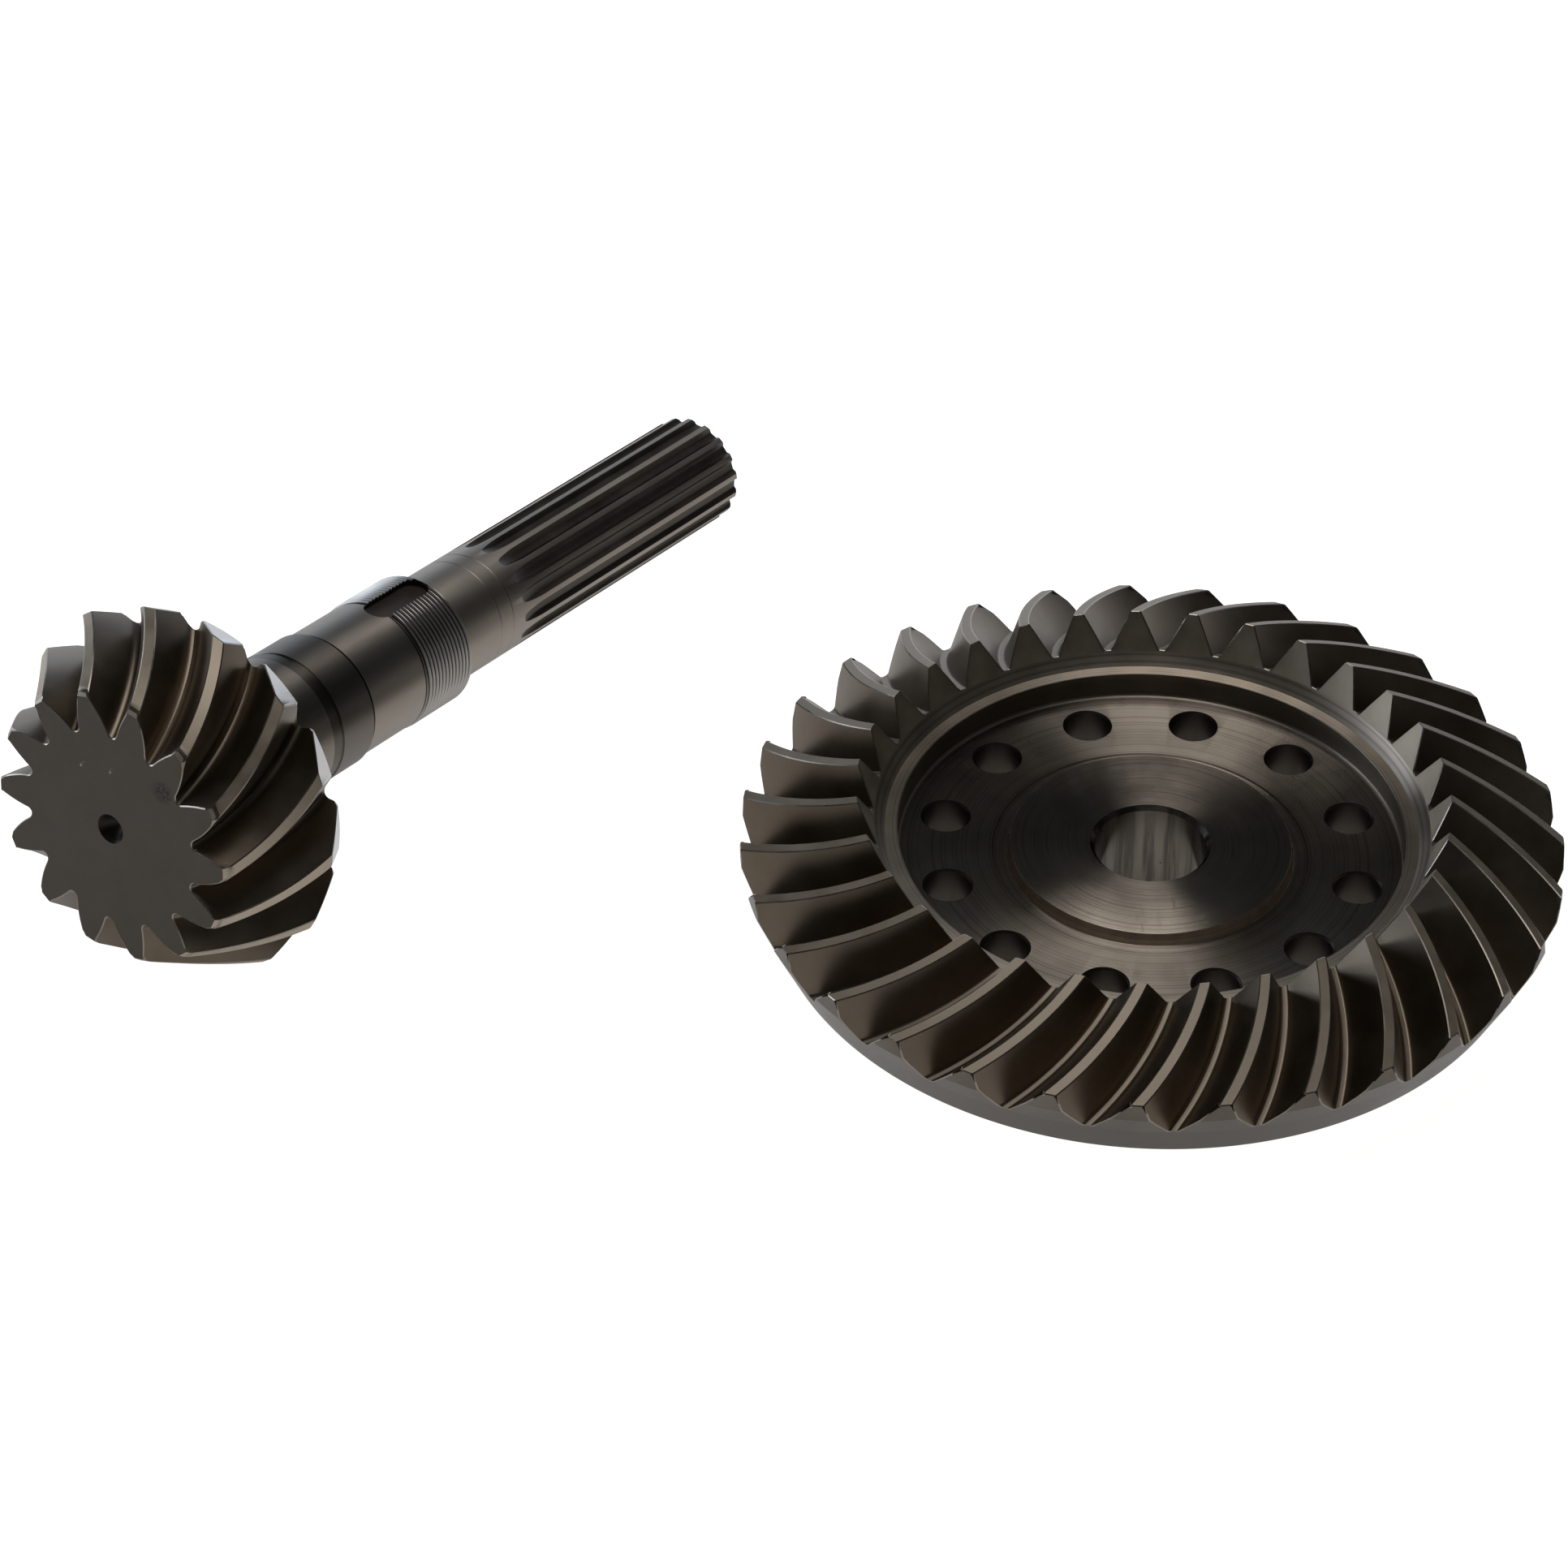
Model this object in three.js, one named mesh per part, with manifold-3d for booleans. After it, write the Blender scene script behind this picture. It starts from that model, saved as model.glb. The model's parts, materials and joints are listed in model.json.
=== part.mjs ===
// Spiral bevel gear pair: a crown wheel lying flat with its teeth up, and the
// pinion shaft that drives it lying beside it on the same surface.
//
// Millimetres, +Z up. The wheel's axis is vertical. The origin is on the surface
// under the pair, at the middle of the rectangle that the pair covers.
//
// Each gear is described in its own half plane (radius, height along the axis).
// A tooth height of 0 is the root cone and 1 is the tip cone.

import * as THREE from 'three';
import { mergeVertices } from 'three/addons/utils/BufferGeometryUtils.js';
import Module from 'manifold-3d';

const wasm = await Module();
wasm.setup();

const degrees = THREE.MathUtils.degToRad;

// ---------------------------------------------------------------- gear data

const WHEEL_TEETH = 31;
const PINION_TEETH = 14;
const PINION_CONE = Math.atan(PINION_TEETH / WHEEL_TEETH);
const WHEEL_CONE = Math.PI / 2 - PINION_CONE;

const TOE_DISTANCE = 149;
const MEAN_DISTANCE = 182;
const MEAN_SPIRAL = degrees(28.9);
const CUTTER_RADIUS = 147.4;
const CUTTER_OFFSET = Math.sqrt(
  MEAN_DISTANCE ** 2 + CUTTER_RADIUS ** 2
  - 2 * MEAN_DISTANCE * CUTTER_RADIUS * Math.sin(MEAN_SPIRAL),
);
const FACE_STEPS = 4;

// ------------------------------------- wheel, z = 0 the face of its rear hub

const HUB_DROP = 17;
const WEB_THICKNESS = 26;
const WEB_TOP = HUB_DROP + WEB_THICKNESS;
const BORE_RADIUS = 26.7;
const BORE_CHAMFER = 2.1;
const HUB_CHAMFER = 1.5;
const BOSS_RADIUS = 66.8;
const BOSS_RISE = 5.2;
const BOSS_DRAFT = 1.4;
const GROOVE_DEPTH = 1;
const GROOVE_OUTER = 74.4;
const GROOVE_SLOPE = 0.8;
const FLANGE_OUTER = 120.8;
const LEDGE_INNER = 120.1;
const LEDGE_OUTER = 126.3;
const LEDGE_RISE = 14;
const OUTER_RADIUS = 194.95;
const OUTER_BAND = [WEB_TOP + 4, WEB_TOP + 11.7];
const TIP_END = [192.4, WEB_TOP + 13.4];
const BACK_RADIUS = 180.7;
const WHEEL_PHASE = degrees(-2.24);

const BOLT_COUNT = 12;
const BOLT_CIRCLE = 100;
const BOLT_HOLE = 11;
const BOLT_CHAMFER = 1.05;
const BOLT_PHASE = degrees(14.8);
const BOLT_SIDES = 20;

// ------------------------------------- pinion shaft, height 0 its small end face

const TOE_CHAMFER = [[66.65, 0], [69.2, 3]];
const HEEL_FACET = [[91.3, 49.5], [84.15, 63.45]];
const CENTRE_RADIUS = 7.5;
const CENTRE_DEPTH = 11;
const HEAD_FILLET = 8;
const JOURNAL_RADIUS = 35;
const BAND_START = 121.8;
const BAND_END = 129.5;
const BAND_RADIUS = 34.6;
const COLLAR_END = 152.9;
const SEAT_RADIUS = 33.7;
const THREAD_START = 195.6;
const THREAD_END = 231.7;
const THREAD_PITCH = 2.65;
const THREAD_CREST = 34.4;
const THREAD_ROOT = 32.9;
const TAIL_RADIUS = 28.8;
const SHAFT_LENGTH = 470;
const TAIL_CHAMFER = 1.5;
const SHAFT_SIDES = 36;

const KEYWAY_WIDTH = 14.7;
const KEYWAY_START = 188.9;
const KEYWAY_END = 231.2;
const KEYWAY_FLOOR = 30.3;
const KEYWAY_ANGLE = degrees(93);

const SPLINE_COUNT = 17;
const SPLINE_START = 282;
const SPLINE_RUNOUT = 18;
const SPLINE_DEPTH = 2.9;
const SPLINE_FLOOR_WIDTH = 3.4;
const SPLINE_FLARE = 1.6;
const SPLINE_LAND_ANGLE = degrees(124.4);

const PINION_PHASE = degrees(50.1);
const PINION_HEADING = degrees(55.7);
const PINION_TOE = [-484.4, -52.1];

// ------------------------------------------------------------------- meshes

// Joins rows of points, each the same length and closed on itself, into one skin.
// 'start' and 'end' are points on the axis that close the skin; without them the
// last row joins the first.
function skin(rows, start, end) {
  const points = rows.flat();
  const width = rows[0].length;
  const triangles = [];
  const corner = (row, step) => (row % rows.length) * width + (step % width);
  const joins = start ? rows.length - 1 : rows.length;
  for (let row = 0; row < joins; row += 1) {
    for (let step = 0; step < width; step += 1) {
      const a = corner(row, step);
      const b = corner(row, step + 1);
      const c = corner(row + 1, step + 1);
      const d = corner(row + 1, step);
      triangles.push(a, b, c, a, c, d);
    }
  }
  if (start) {
    const first = points.push(start) - 1;
    const last = points.push(end) - 1;
    for (let step = 0; step < width; step += 1) {
      triangles.push(first, corner(0, step + 1), corner(0, step));
      triangles.push(last, corner(rows.length - 1, step), corner(rows.length - 1, step + 1));
    }
  }
  const geometry = new THREE.BufferGeometry();
  geometry.setAttribute('position', new THREE.Float32BufferAttribute(points.flat(), 3));
  geometry.setIndex(triangles);
  return geometry;
}

// A manifold solid from a closed geometry. Triangles that closed up to nothing
// when their corners were merged are left out.
function solid(geometry) {
  const plain = geometry.clone();
  plain.deleteAttribute('normal');
  plain.deleteAttribute('uv');
  const merged = mergeVertices(plain, 1e-4);
  const index = merged.index.array;
  const kept = [];
  for (let i = 0; i < index.length; i += 3) {
    const [a, b, c] = [index[i], index[i + 1], index[i + 2]];
    if (a !== b && b !== c && c !== a) {
      kept.push(a, b, c);
    }
  }
  return new wasm.Manifold(new wasm.Mesh({
    numProp: 3,
    vertProperties: new Float32Array(merged.attributes.position.array),
    triVerts: new Uint32Array(kept),
  }));
}

function geometryOf(manifold) {
  const mesh = manifold.getMesh();
  const geometry = new THREE.BufferGeometry();
  geometry.setAttribute('position', new THREE.BufferAttribute(mesh.vertProperties, 3));
  geometry.setIndex(new THREE.BufferAttribute(mesh.triVerts, 1));
  geometry.computeVertexNormals();
  return geometry;
}

const onAxis = ([radius, height], angle) => [
  radius * Math.cos(angle),
  radius * Math.sin(angle),
  height,
];

// ------------------------------------------------------------- tooth geometry

// How far round its cone a tooth has turned at a cone distance, counted from the
// toe. The tooth follows the circle that a face cutter sweeps over the flat cone.
function coneAngle(distance) {
  const cosine = (distance ** 2 + CUTTER_OFFSET ** 2 - CUTTER_RADIUS ** 2)
    / (2 * distance * CUTTER_OFFSET);
  return Math.acos(cosine);
}

function spiralCosine(distance) {
  const sine = (distance ** 2 + CUTTER_RADIUS ** 2 - CUTTER_OFFSET ** 2)
    / (2 * distance * CUTTER_RADIUS);
  return Math.sqrt(1 - sine ** 2);
}

// A gear's teeth. 'toe' is the pitch point at the small end, 'along' runs down the
// pitch cone and 'outward' stands square to it, towards the tooth tip.
function toothForm(gear) {
  const depth = gear.addendum + gear.dedendum;
  const offset = (height, run) => -gear.dedendum + depth * height + gear.taper * height * run;
  const place = (height, run) => {
    const lift = offset(height, run);
    return [
      gear.toe[0] + run * gear.along[0] + lift * gear.outward[0],
      gear.toe[1] + run * gear.along[1] + lift * gear.outward[1],
    ];
  };
  const heightOf = ([radius, level]) => {
    const across = [radius - gear.toe[0], level - gear.toe[1]];
    const run = across[0] * gear.along[0] + across[1] * gear.along[1];
    const lift = across[0] * gear.outward[0] + across[1] * gear.outward[1];
    return (lift + gear.dedendum) / (depth + gear.taper * run);
  };
  // Distance along the face at which the line of one tooth height meets an edge.
  const reach = (height, edge) => {
    const from = place(height, 0);
    const unit = place(height, 1);
    const way = [unit[0] - from[0], unit[1] - from[1]];
    let best = null;
    for (let i = 0; i + 1 < edge.length; i += 1) {
      const side = [edge[i + 1][0] - edge[i][0], edge[i + 1][1] - edge[i][1]];
      const gap = [edge[i][0] - from[0], edge[i][1] - from[1]];
      const cross = way[0] * side[1] - way[1] * side[0];
      const run = (gap[0] * side[1] - gap[1] * side[0]) / cross;
      const share = (gap[0] * way[1] - gap[1] * way[0]) / cross;
      const miss = Math.max(0, -share, share - 1);
      if (best === null || miss < best.miss) {
        best = { run, miss };
      }
    }
    return best.run;
  };
  const halfAngle = (height, run) => {
    const widen = 2 * spiralCosine(TOE_DISTANCE + run);
    const root = Math.PI / gear.teeth - gear.rootLand / widen / place(0, run)[0];
    const tip = gear.topLand / widen / place(1, run)[0];
    const bulge = gear.bulge * 4 * height * (1 - height) / place(height, run)[0];
    return root + (tip - root) * height + bulge;
  };
  const turned = (run) => (coneAngle(TOE_DISTANCE) - coneAngle(TOE_DISTANCE + run)) / gear.sine;
  return { place, heightOf, reach, halfAngle, turned };
}

// Rows of points round the whole gear: up the toe end, along the face and down the
// heel end. 'heights' are the levels of one flank, from root to tip.
function toothRows(gear) {
  const form = toothForm(gear);
  const levels = gear.heights;
  const flank = levels.map((height) => ({ height, side: -1 }));
  const mirror = [...levels].reverse().map((height) => ({ height, side: 1 }));
  const profile = [...flank, ...mirror];
  const spots = [];
  for (let tooth = 0; tooth < gear.teeth; tooth += 1) {
    for (const { height, side } of profile) {
      spots.push({ height, side, centre: gear.phase + tooth * 2 * Math.PI / gear.teeth });
    }
  }
  const angleAt = ({ height, side, centre }, run) => (
    centre + side * form.halfAngle(height, run) - form.turned(run)
  );
  const endRow = (edge, limit) => spots.map((spot) => {
    const angle = angleAt(spot, form.reach(spot.height, edge));
    const height = Math.min(spot.height, limit);
    return onAxis(form.place(height, form.reach(height, edge)), angle);
  });
  const rows = [0, ...gear.toeLimits].map((limit) => endRow(gear.toeEdge, limit));
  for (let step = 0; step <= FACE_STEPS; step += 1) {
    rows.push(spots.map((spot) => {
      const start = form.reach(spot.height, gear.toeEdge);
      const end = form.reach(spot.height, gear.heelEdge);
      const run = start + (end - start) * step / FACE_STEPS;
      return onAxis(form.place(spot.height, run), angleAt(spot, run));
    }));
  }
  for (const limit of [...gear.heelLimits, 0]) {
    rows.push(endRow(gear.heelEdge, limit));
  }
  return rows;
}

// Plain circles next to a tooth row. They keep the row's point count so that rows
// join, and gather its points in groups of 'share' so that circles stay light.
function circleRows(outline, row, share) {
  const angles = row.map((_, step) => {
    const [x, y] = row[Math.floor(step / share) * share];
    return Math.atan2(y, x);
  });
  return outline.map((point) => angles.map((angle) => onAxis(point, angle)));
}

// ------------------------------------------------------------------ the wheel

function wheelTeeth() {
  const gear = {
    teeth: WHEEL_TEETH,
    toe: [135.8, WEB_TOP + 29.1],
    along: [Math.sin(WHEEL_CONE), -Math.cos(WHEEL_CONE)],
    outward: [Math.cos(WHEEL_CONE), Math.sin(WHEEL_CONE)],
    sine: Math.sin(WHEEL_CONE),
    addendum: 9.65,
    dedendum: 9.65,
    taper: 0,
    rootLand: 3.4,
    topLand: 4.9,
    bulge: 0,
    phase: WHEEL_PHASE,
    toeEdge: [[131.8, WEB_TOP + 20.3], [139.8, WEB_TOP + 37.9]],
    heelEdge: [
      [BACK_RADIUS, HUB_DROP],
      [OUTER_RADIUS, OUTER_BAND[0]],
      [OUTER_RADIUS, OUTER_BAND[1]],
      TIP_END,
    ],
    toeLimits: [],
  };
  const form = toothForm(gear);
  const bandHeights = OUTER_BAND.map((level) => form.heightOf([OUTER_RADIUS, level]));
  gear.heights = [0, bandHeights[0], 1];
  gear.heelLimits = [...bandHeights].reverse();
  return toothRows(gear);
}

function boltHoles() {
  const over = 1;
  const outline = [
    [0, HUB_DROP - over],
    [BOLT_HOLE + BOLT_CHAMFER + over, HUB_DROP - over],
    [BOLT_HOLE, HUB_DROP + BOLT_CHAMFER],
    [BOLT_HOLE, WEB_TOP - BOLT_CHAMFER],
    [BOLT_HOLE + BOLT_CHAMFER + over, WEB_TOP + over],
    [0, WEB_TOP + over],
  ].map(([radius, height]) => new THREE.Vector2(radius, height));
  const drill = new THREE.LatheGeometry(outline, BOLT_SIDES);
  drill.rotateX(Math.PI / 2);
  return Array.from({ length: BOLT_COUNT }, (_, hole) => {
    const angle = BOLT_PHASE + hole * 2 * Math.PI / BOLT_COUNT;
    const placed = drill.clone();
    placed.translate(BOLT_CIRCLE * Math.cos(angle), BOLT_CIRCLE * Math.sin(angle), 0);
    return solid(placed);
  });
}

function wheelGeometry() {
  const top = WEB_TOP;
  const rows = wheelTeeth();
  const inner = [
    [BORE_RADIUS, HUB_CHAMFER],
    [BORE_RADIUS, top + BOSS_RISE - BORE_CHAMFER],
    [BORE_RADIUS + BORE_CHAMFER, top + BOSS_RISE],
    [BOSS_RADIUS, top + BOSS_RISE],
    [BOSS_RADIUS + BOSS_DRAFT, top - GROOVE_DEPTH],
    [GROOVE_OUTER, top - GROOVE_DEPTH],
    [GROOVE_OUTER + GROOVE_SLOPE, top],
    [FLANGE_OUTER, top],
    [LEDGE_INNER, top + LEDGE_RISE],
    [LEDGE_OUTER, top + LEDGE_RISE],
  ];
  const back = [
    [BACK_RADIUS, HUB_DROP],
    [BOSS_RADIUS, HUB_DROP],
    [BOSS_RADIUS, HUB_CHAMFER],
    [BOSS_RADIUS - HUB_CHAMFER, 0],
    [BORE_RADIUS + HUB_CHAMFER, 0],
  ];
  const loops = [
    ...circleRows(inner, rows[0], 3),
    ...rows,
    ...circleRows(back, rows[rows.length - 1], 3),
  ];
  const blank = solid(skin(loops.reverse()));
  return geometryOf(boltHoles().reduce((wheel, hole) => wheel.subtract(hole), blank));
}

// ----------------------------------------------------------- the pinion shaft

function pinionHead() {
  const gear = {
    teeth: PINION_TEETH,
    toe: [57.85, 0],
    along: [Math.sin(PINION_CONE), Math.cos(PINION_CONE)],
    outward: [Math.cos(PINION_CONE), -Math.sin(PINION_CONE)],
    sine: Math.sin(PINION_CONE),
    addendum: 8.7,
    dedendum: 8.05,
    taper: 0.045,
    rootLand: 3.6,
    topLand: 5.6,
    bulge: 0.35,
    phase: PINION_PHASE,
    toeEdge: [[40, 0], ...TOE_CHAMFER],
    heelEdge: [[60, HEEL_FACET[1][1]], ...[...HEEL_FACET].reverse()],
  };
  const form = toothForm(gear);
  gear.heights = [0, form.heightOf(HEEL_FACET[1]), 0.65, 1];
  gear.toeLimits = [form.heightOf(TOE_CHAMFER[0])];
  gear.heelLimits = [form.heightOf(HEEL_FACET[1])];
  const rows = toothRows(gear);
  const centre = circleRows([[CENTRE_RADIUS, 0]], rows[0], 4);
  return solid(skin([...centre, ...rows], [0, 0, CENTRE_DEPTH], [0, 0, HEEL_FACET[1][1]]));
}

// Outline of the shaft behind the head, from inside the head to the tail.
function shaftOutline() {
  const back = HEEL_FACET[1][1];
  const points = [[0, back - 20], [JOURNAL_RADIUS + HEAD_FILLET, back - 20]];
  const bends = 4;
  for (let bend = 0; bend <= bends; bend += 1) {
    const angle = bend / bends * Math.PI / 2;
    points.push([
      JOURNAL_RADIUS + HEAD_FILLET * (1 - Math.sin(angle)),
      back + HEAD_FILLET * (1 - Math.cos(angle)),
    ]);
  }
  points.push([JOURNAL_RADIUS, BAND_START], [BAND_RADIUS, BAND_START + 0.6]);
  points.push([BAND_RADIUS, BAND_END - 0.6], [JOURNAL_RADIUS, BAND_END]);
  points.push([JOURNAL_RADIUS, COLLAR_END], [SEAT_RADIUS, COLLAR_END]);
  points.push([SEAT_RADIUS, THREAD_START]);
  for (let turn = THREAD_START; turn + THREAD_PITCH <= THREAD_END; turn += THREAD_PITCH) {
    points.push([THREAD_ROOT, turn + THREAD_PITCH / 4]);
    points.push([THREAD_CREST, turn + THREAD_PITCH * 3 / 4]);
  }
  points.push([THREAD_ROOT, THREAD_END], [TAIL_RADIUS, THREAD_END]);
  points.push([TAIL_RADIUS, SHAFT_LENGTH - TAIL_CHAMFER]);
  points.push([TAIL_RADIUS - TAIL_CHAMFER, SHAFT_LENGTH]);
  points.push([CENTRE_RADIUS, SHAFT_LENGTH], [0, SHAFT_LENGTH - CENTRE_DEPTH]);
  return points;
}

function shaftBody() {
  const outline = shaftOutline().map(([radius, height]) => new THREE.Vector2(radius, height));
  const geometry = new THREE.LatheGeometry(outline, SHAFT_SIDES);
  geometry.rotateX(Math.PI / 2);
  return solid(geometry);
}

// Milled keyway with round ends, closed by a thin lip at the end of the thread.
function keywayCutter() {
  const half = KEYWAY_WIDTH / 2;
  const outline = new THREE.Shape();
  outline.absarc(KEYWAY_START + half, 0, half, Math.PI / 2, Math.PI * 3 / 2, false);
  outline.absarc(KEYWAY_END - half, 0, half, -Math.PI / 2, Math.PI / 2, false);
  const cutter = new THREE.ExtrudeGeometry(outline, {
    depth: KEYWAY_WIDTH,
    bevelEnabled: false,
    curveSegments: 8,
  });
  cutter.translate(0, 0, KEYWAY_FLOOR);
  cutter.rotateY(-Math.PI / 2);
  cutter.rotateZ(Math.PI);
  cutter.rotateZ(KEYWAY_ANGLE);
  return solid(cutter);
}

// One spline groove: a tapered cutter that climbs out of the shaft at its start.
function splineCutter(angle) {
  const floor = TAIL_RADIUS - SPLINE_DEPTH;
  const top = TAIL_RADIUS + 2;
  const stations = [0, 1, 2, 3].map((step) => {
    const share = step / 3;
    return [SPLINE_START + SPLINE_RUNOUT * share, (SPLINE_DEPTH + 0.2) * (1 - share) ** 2];
  });
  stations.push([SHAFT_LENGTH + 5, 0]);
  const rows = stations.map(([height, climb]) => {
    const low = floor + climb;
    const bottom = SPLINE_FLOOR_WIDTH / 2;
    const brim = bottom + (top - low) * SPLINE_FLARE / 2;
    const section = [[low, -bottom], [top, -brim], [top, brim], [low, bottom]];
    return section.map(([out, across]) => [
      out * Math.cos(angle) - across * Math.sin(angle),
      out * Math.sin(angle) + across * Math.cos(angle),
      height,
    ]);
  });
  const middle = (row) => [0, 1, 2].map((axis) => row.reduce((sum, p) => sum + p[axis] / 4, 0));
  return solid(skin(rows, middle(rows[0]), middle(rows[rows.length - 1])));
}

function pinionGeometry() {
  let shaft = pinionHead().add(shaftBody()).subtract(keywayCutter());
  const pitch = 2 * Math.PI / SPLINE_COUNT;
  for (let groove = 0; groove < SPLINE_COUNT; groove += 1) {
    shaft = shaft.subtract(splineCutter(SPLINE_LAND_ANGLE + pitch * (groove + 0.5)));
  }
  return geometryOf(shaft);
}

// ------------------------------------------------------------------- assembly

function part(name, geometry, color, roughness) {
  const material = new THREE.MeshStandardMaterial({
    color,
    roughness,
    metalness: 1,
    flatShading: true,
  });
  const mesh = new THREE.Mesh(geometry, material);
  mesh.name = name;
  return mesh;
}

// The shaft rests on two neighbouring teeth at the heel and on its tail, so its
// axis leans down towards the tail.
function layDown(pinion) {
  const [tipRadius, tipHeight] = HEEL_FACET[0];
  const headRest = tipRadius * Math.cos(Math.PI / PINION_TEETH);
  const lean = Math.atan2(headRest - TAIL_RADIUS, SHAFT_LENGTH - TAIL_CHAMFER - tipHeight);
  const axis = new THREE.Vector3(
    Math.cos(lean) * Math.cos(PINION_HEADING),
    Math.cos(lean) * Math.sin(PINION_HEADING),
    -Math.sin(lean),
  );
  const across = new THREE.Vector3(0, 0, 1).cross(axis).normalize();
  const over = new THREE.Vector3().crossVectors(axis, across);
  const turn = new THREE.Matrix4().makeBasis(across, over, axis);
  pinion.quaternion.setFromRotationMatrix(turn);
  pinion.position.set(PINION_TOE[0], PINION_TOE[1], 0);
  pinion.updateMatrixWorld(true);
  pinion.position.z -= new THREE.Box3().setFromObject(pinion, true).min.z;
}

const wheel = part('ring_gear', wheelGeometry(), 0x7d756c, 0.35);
const pinion = part('pinion_shaft', pinionGeometry(), 0x6f6860, 0.3);
layDown(pinion);

const pair = new THREE.Group();
pair.add(wheel, pinion);
pair.updateMatrixWorld(true);
const middle = new THREE.Box3().setFromObject(pair, true).getCenter(new THREE.Vector3());
pair.position.set(-middle.x, -middle.y, 0);

export default pair;
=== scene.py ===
"""Spiral bevel gear pair: a crown wheel lying flat and its pinion shaft beside it.

Each gear is built in its own frame, with its axis along Z, and then placed. Sizes are
in millimetres until a mesh is made. A tooth height of 0 is the root and 1 is the tip.
"""

import json
import math

import bmesh
import bpy
import numpy as np
from mathutils import Matrix, Vector


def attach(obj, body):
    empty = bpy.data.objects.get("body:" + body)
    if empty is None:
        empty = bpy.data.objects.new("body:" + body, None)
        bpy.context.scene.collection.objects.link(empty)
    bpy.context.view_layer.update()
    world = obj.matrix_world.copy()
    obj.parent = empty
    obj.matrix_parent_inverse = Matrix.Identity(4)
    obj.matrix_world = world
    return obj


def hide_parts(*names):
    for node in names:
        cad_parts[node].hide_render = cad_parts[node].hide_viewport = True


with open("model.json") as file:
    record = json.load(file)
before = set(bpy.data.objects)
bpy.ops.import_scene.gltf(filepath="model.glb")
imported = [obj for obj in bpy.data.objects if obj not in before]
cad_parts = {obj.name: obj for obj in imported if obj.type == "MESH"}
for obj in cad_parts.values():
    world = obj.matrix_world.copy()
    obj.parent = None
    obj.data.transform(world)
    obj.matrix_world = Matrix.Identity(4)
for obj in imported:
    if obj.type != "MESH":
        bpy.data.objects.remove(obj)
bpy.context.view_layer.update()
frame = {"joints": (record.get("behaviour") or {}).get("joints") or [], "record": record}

MM = 0.001
SHARP_ANGLE = math.radians(21)

# ------------------------------------------------------------------ gear data

WHEEL_TEETH = 31
PINION_TEETH = 14
PINION_CONE = math.atan(PINION_TEETH / WHEEL_TEETH)
WHEEL_CONE = math.pi / 2 - PINION_CONE

TOE_DISTANCE = 149.0
MEAN_DISTANCE = 182.0
MEAN_SPIRAL = math.radians(28.9)
CUTTER_RADIUS = 147.4
CUTTER_OFFSET = math.sqrt(
    MEAN_DISTANCE**2
    + CUTTER_RADIUS**2
    - 2 * MEAN_DISTANCE * CUTTER_RADIUS * math.sin(MEAN_SPIRAL)
)
EDGE_BREAK = 0.35
FOOT_DROP = 2.5 * EDGE_BREAK
NO_LIMIT = 2.0
FACE_STEPS = 26

HUB_DROP = 17.0
WEB_TOP = 43.0
BOSS_TOP = 48.2
BOSS = 66.8
BOSS_FOOT = 68.2
GROOVE_OUTER = 74.4
GROOVE_LIP = 75.2
GROOVE_DEPTH = 1.0
DISH = 120.8
WALL_DRAFT = 0.7
WALL_TOP = WEB_TOP + 14
LEDGE = 126.3
BORE = 26.7
BORE_CHAMFER = 2.1
HUB_CHAMFER = 1.5
HUB_FLARE = 2.0
BACK_RADIUS = 180.7
OUTER_RADIUS = 194.95
OUTER_BAND = (WEB_TOP + 4, WEB_TOP + 11.7)
TIP_END = (192.4, WEB_TOP + 13.4)
WHEEL_TOE = (135.8, WEB_TOP + 29.1)
WHEEL_TOE_EDGE = ((131.8, WEB_TOP + 20.3), (139.8, WEB_TOP + 37.9))
WHEEL_PHASE = math.radians(-2.24)
BOLT_COUNT = 12
BOLT_CIRCLE = 100.0
BOLT_HOLE = 11.0
BOLT_CHAMFER = 1.05
BOLT_PHASE = math.radians(14.8)

PINION_TOE = (57.85, 0.0)
HEEL_FACET = ((91.3, 49.5), (84.15, 63.45))
TOE_CHAMFER = ((66.65, 0.0), (69.2, 3.0))
CENTRE_RADIUS = 7.5
CENTRE_DEPTH = 11.0
JOURNAL = 35.0
JOURNAL_BEND = 8.0
BAND = (121.8, 129.5)
BAND_DEPTH = 0.5
COLLAR_END = 152.9
SEAT = 33.7
RELIEF = 0.4
CREST_SHINE = (33.3, 33.9)
THREAD_START = 195.6
THREAD_END = 231.7
THREAD_PITCH = 2.65
THREAD_CREST = 34.4
THREAD_ROOT = 32.9
TAIL = 28.8
TAIL_GROOVES = (262.7, 272.8)
LENGTH = 470.0
KEYWAY_WIDTH = 14.7
KEYWAY_SPAN = (188.9, 231.2)
KEYWAY_FLOOR = 30.3
KEYWAY_ANGLE = math.radians(93)
SPLINE_COUNT = 17
SPLINE_START = 282.0
SPLINE_DEPTH = 2.85
SPLINE_CUTTER = 56.5
# Half a spline groove's width at heights above its floor: (height, half width).
SPLINE_GROOVE = ((0.0, 1.3), (0.15, 2.0), (0.75, 2.7), (1.75, 3.35), (2.85, 4.15), (3.7, 4.7))
SPLINE_LAND_ANGLE = math.radians(124.4)
PINION_PHASE = math.radians(50.1)
# Marks in the small end face: (place, turn in degrees).
PUNCH_MARKS = (((17.6, 28.2), 35), ((0.4, 31.4), 30))
PUNCH_SIZE = (0.7, 2.0, 0.9)
SMUDGE = (-30.1, 32.4)
SMUDGE_RADIUS = 6.5

# --------------------------------------------------------------- tooth geometry


def cone_angle(distance):
    """How far the tooth has turned on its flat pitch cone, by cone distance."""
    cosine = (distance**2 + CUTTER_OFFSET**2 - CUTTER_RADIUS**2) / (
        2 * distance * CUTTER_OFFSET
    )
    return np.arccos(cosine)


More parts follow.
